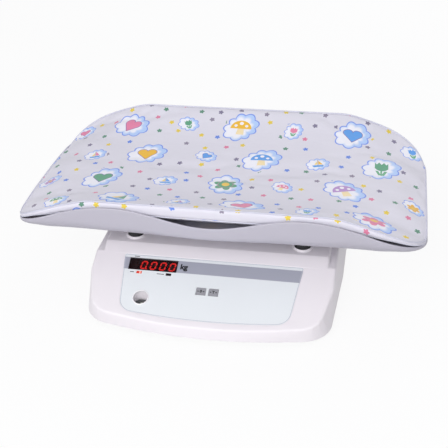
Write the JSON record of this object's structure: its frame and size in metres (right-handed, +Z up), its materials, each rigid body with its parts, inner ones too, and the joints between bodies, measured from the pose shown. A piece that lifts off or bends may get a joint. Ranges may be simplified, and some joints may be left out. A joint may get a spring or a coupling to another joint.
{
  "type": "baby weighing scale",
  "caption": "Digital baby scale: console base with sloped keypad panel, lift-off cradle tray on rubber-tipped posts, and a padded print cushion.",
  "frame": {"origin": "on the floor, under the middle of the whole object's box", "axes": "+X to the right along the tray's length, +Y from the console at the front to the back, +Z up"},
  "size_m": [0.54, 0.36, 0.1552],
  "materials": {
    "housing_plastic": "fine moulded satin, off-white",
    "underside_plastic": "moulded, off-white",
    "overlay_film": "printed polyester film, pale grey with a mid-grey band",
    "window_filter": "dark red filter",
    "digit_housing": "black with lit red segments",
    "led_resin": "tinted epoxy",
    "circuit_board": "green solder resist",
    "black_plastic": "moulded black",
    "rocker_plastic": "moulded black, polished",
    "zinc_steel": "zinc plated",
    "bezel_plastic": "moulded white",
    "vial_resin": "clear cap over dark liquid",
    "chip_resin": "component bodies",
    "ribbon_pvc": "flat grey lead",
    "frame_steel": "pressed sheet, grey primer",
    "nut_brass": "turned",
    "cell_aluminium": "machined, clear anodised",
    "key_plastic": "mid-grey membrane",
    "post_plastic": "moulded, off-white",
    "sleeve_rubber": "black",
    "foot_rubber": "dark grey",
    "tray_plastic": "moulded satin gloss, cool white",
    "cushion_fabric": "coated printed fabric over foam, off-white with small motifs"
  },
  "bodies": {
    "base": {"bottom_cover": "underside_plastic", "top_cover": "housing_plastic", "keypad_overlay": "overlay_film", "display_window": "window_filter", "digit_modules": "digit_housing", "indicator_leds": "led_resin", "display_board": "circuit_board", "key_switches": "black_plastic", "display_screws": "zinc_steel", "level_bezel": "bezel_plastic", "level_vial": "vial_resin", "main_board": "circuit_board", "board_parts": "chip_resin", "board_screws": "zinc_steel", "power_inlet": "black_plastic", "switch_housing": "black_plastic", "display_ribbon": "ribbon_pvc", "lower_frame": "frame_steel", "frame_nuts": "nut_brass", "lower_spacer": "cell_aluminium", "load_cell": "cell_aluminium", "cell_bolts": "zinc_steel", "overload_stops": "zinc_steel", "cover_screws": "zinc_steel"},
    "platform": {"platform_frame": "frame_steel", "upper_spacer": "cell_aluminium", "support_posts": "post_plastic", "post_sleeves": "sleeve_rubber", "post_screws": "zinc_steel"},
    "cradle": {"tray": "tray_plastic", "tray_sockets": "tray_plastic"},
    "pad": {"cushion": "cushion_fabric"},
    "zero_key": {"key_zero": "key_plastic"},
    "tare_key": {"key_tare": "key_plastic"},
    "rocker": {"power_rocker": "rocker_plastic"},
    "foot_1": {"foot_pad_1": "foot_rubber"},
    "stud_1": {"foot_stud_1": "zinc_steel"},
    "foot_2": {"foot_pad_2": "foot_rubber"},
    "stud_2": {"foot_stud_2": "zinc_steel"},
    "foot_3": {"foot_pad_3": "foot_rubber"},
    "stud_3": {"foot_stud_3": "zinc_steel"},
    "foot_4": {"foot_pad_4": "foot_rubber"},
    "stud_4": {"foot_stud_4": "zinc_steel"}
  },
  "joints": [
    {"name": "platform_sink", "type": "slide", "parent": "base", "child": "platform", "axis": [0, 0, 1], "range_m": [-0.0006, 0], "stiffness_N_per_m": 200000, "springref_m": 0.00012, "deforming": ["load_cell"]},
    {"name": "tray_lift", "type": "slide", "parent": "platform", "child": "cradle", "axis": [0, 0, 1], "range_m": [0, 0.12]},
    {"name": "cushion_lift", "type": "slide", "parent": "cradle", "child": "pad", "axis": [0, 0, 1], "range_m": [0, 0.1]},
    {"name": "zero_key_press", "type": "slide", "parent": "base", "child": "zero_key", "axis": [0, 0.3939, -0.9191], "range_m": [0, 0.0004], "stiffness_N_per_m": 1500, "springref_m": -0.0003},
    {"name": "tare_key_press", "type": "slide", "parent": "base", "child": "tare_key", "axis": [0, 0.3939, -0.9191], "range_m": [0, 0.0004], "stiffness_N_per_m": 1500, "springref_m": -0.0003},
    {"name": "power_rocker_tilt", "type": "hinge", "parent": "base", "child": "rocker", "pos_m": [-0.112, 0.1467, 0.031], "axis": [0, 0, 1], "range_deg": [0, 18]},
    {"name": "foot_1_lift", "type": "slide", "parent": "base", "child": "foot_1", "axis": [0, 0, -1], "range_m": [0, 0.005]},
    {"name": "foot_1_turn", "type": "hinge", "parent": "foot_1", "child": "stud_1", "pos_m": [-0.122, -0.128, 0], "axis": [0, 0, -1], "range_deg": [0, 1440]},
    {"name": "foot_2_lift", "type": "slide", "parent": "base", "child": "foot_2", "axis": [0, 0, -1], "range_m": [0, 0.005]},
    {"name": "foot_2_turn", "type": "hinge", "parent": "foot_2", "child": "stud_2", "pos_m": [0.122, -0.128, 0], "axis": [0, 0, -1], "range_deg": [0, 1440]},
    {"name": "foot_3_lift", "type": "slide", "parent": "base", "child": "foot_3", "axis": [0, 0, -1], "range_m": [0, 0.005]},
    {"name": "foot_3_turn", "type": "hinge", "parent": "foot_3", "child": "stud_3", "pos_m": [0.128, 0.113, 0], "axis": [0, 0, -1], "range_deg": [0, 1440]},
    {"name": "foot_4_lift", "type": "slide", "parent": "base", "child": "foot_4", "axis": [0, 0, -1], "range_m": [0, 0.005]},
    {"name": "foot_4_turn", "type": "hinge", "parent": "foot_4", "child": "stud_4", "pos_m": [-0.128, 0.113, 0], "axis": [0, 0, -1], "range_deg": [0, 1440]}
  ],
  "couplings": [
    {"joint": "foot_1_turn", "follows": "foot_1_lift", "rad_per_m": 5026},
    {"joint": "foot_2_turn", "follows": "foot_2_lift", "rad_per_m": 5026},
    {"joint": "foot_3_turn", "follows": "foot_3_lift", "rad_per_m": 5026},
    {"joint": "foot_4_turn", "follows": "foot_4_lift", "rad_per_m": 5026}
  ]
}
